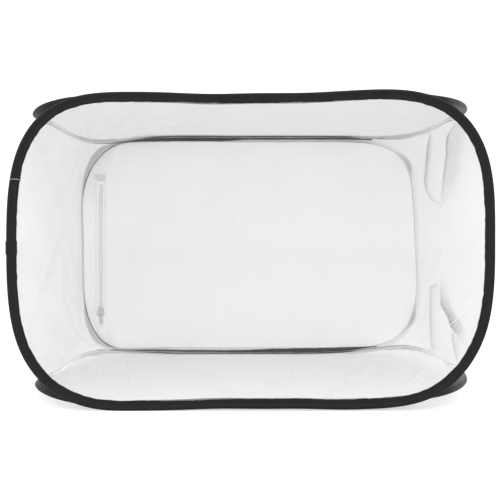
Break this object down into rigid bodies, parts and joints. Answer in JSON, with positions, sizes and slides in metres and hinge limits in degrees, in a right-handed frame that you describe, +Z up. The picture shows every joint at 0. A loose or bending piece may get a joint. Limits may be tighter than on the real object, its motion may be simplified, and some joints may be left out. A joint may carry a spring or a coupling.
{
  "type": "insect cage",
  "caption": "Collapsible pop-up insect cage with spring-wire hoops, sheer mesh walls, a clear film window and a zip at the back.",
  "frame": {"origin": "on the surface that the cage stands on, under its middle", "axes": "+Z up, -Y out through the clear window, +X along the cage's length, to the right as seen through the window"},
  "size_m": [0.6, 0.4042, 0.39],
  "materials": {
    "black_tape": "woven matt",
    "spring_steel": "drawn wire",
    "white_mesh": "sheer woven mesh",
    "clear_film": "clear, creased",
    "white_nylon": "moulded",
    "zip_metal": "die-cast, plated"
  },
  "bodies": {
    "bottom_frame": {"bottom_binding": "black_tape", "bottom_hoop_wire": "spring_steel", "bottom_wire_ferrule": "spring_steel", "bottom_panel": "white_mesh", "left_end_wall": "white_mesh", "right_end_wall": "white_mesh"},
    "front_frame": {"front_binding": "black_tape", "front_hoop_wire": "spring_steel", "front_wire_ferrule": "spring_steel", "front_window": "clear_film"},
    "top_frame": {"top_binding": "black_tape", "top_hoop_wire": "spring_steel", "top_wire_ferrule": "spring_steel", "top_panel": "white_mesh"},
    "back_frame": {"back_binding": "black_tape", "back_hoop_wire": "spring_steel", "back_wire_ferrule": "spring_steel", "back_panel": "white_mesh", "zip_tape_left": "white_mesh", "zip_tape_right": "white_mesh", "zip_teeth_left": "white_nylon", "zip_teeth_right": "white_nylon", "zip_stop_left": "zip_metal", "zip_stop_right": "zip_metal", "zip_end_stop": "zip_metal"},
    "zip_slider": {"zip_slider": "zip_metal"},
    "zip_pull": {"zip_pull": "zip_metal"}
  },
  "joints": [
    {"name": "front_fold", "type": "hinge", "parent": "bottom_frame", "child": "front_frame", "pos_m": [0, -0.19385, 0.00615], "axis": [-1, 0, 0], "range_deg": [0, 90], "stiffness_Nm_per_rad": 4, "springref_deg": -8.59, "deforming": ["left_end_wall", "right_end_wall"]},
    {"name": "top_fold", "type": "hinge", "parent": "front_frame", "child": "top_frame", "pos_m": [0, -0.2, 0.39], "axis": [1, 0, 0], "range_deg": [0, 90]},
    {"name": "back_fold", "type": "hinge", "parent": "bottom_frame", "child": "back_frame", "pos_m": [0, 0.2, 0], "axis": [-1, 0, 0], "range_deg": [0, 90], "stiffness_Nm_per_rad": 4, "springref_deg": -8.59},
    {"name": "zip_slide", "type": "slide", "parent": "back_frame", "child": "zip_slider", "axis": [0, 0, 1], "range_m": [0, 0.225], "deforming": ["zip_teeth_left", "zip_teeth_right"]},
    {"name": "zip_pull_swing", "type": "hinge", "parent": "zip_slider", "child": "zip_pull", "pos_m": [-0.26803, 0.20225, 0.077], "axis": [1, 0, 0], "range_deg": [0, 170]}
  ],
  "couplings": [
    {"joint": "top_fold", "follows": "front_fold", "ratio": 1},
    {"joint": "back_fold", "follows": "front_fold", "ratio": 1}
  ]
}
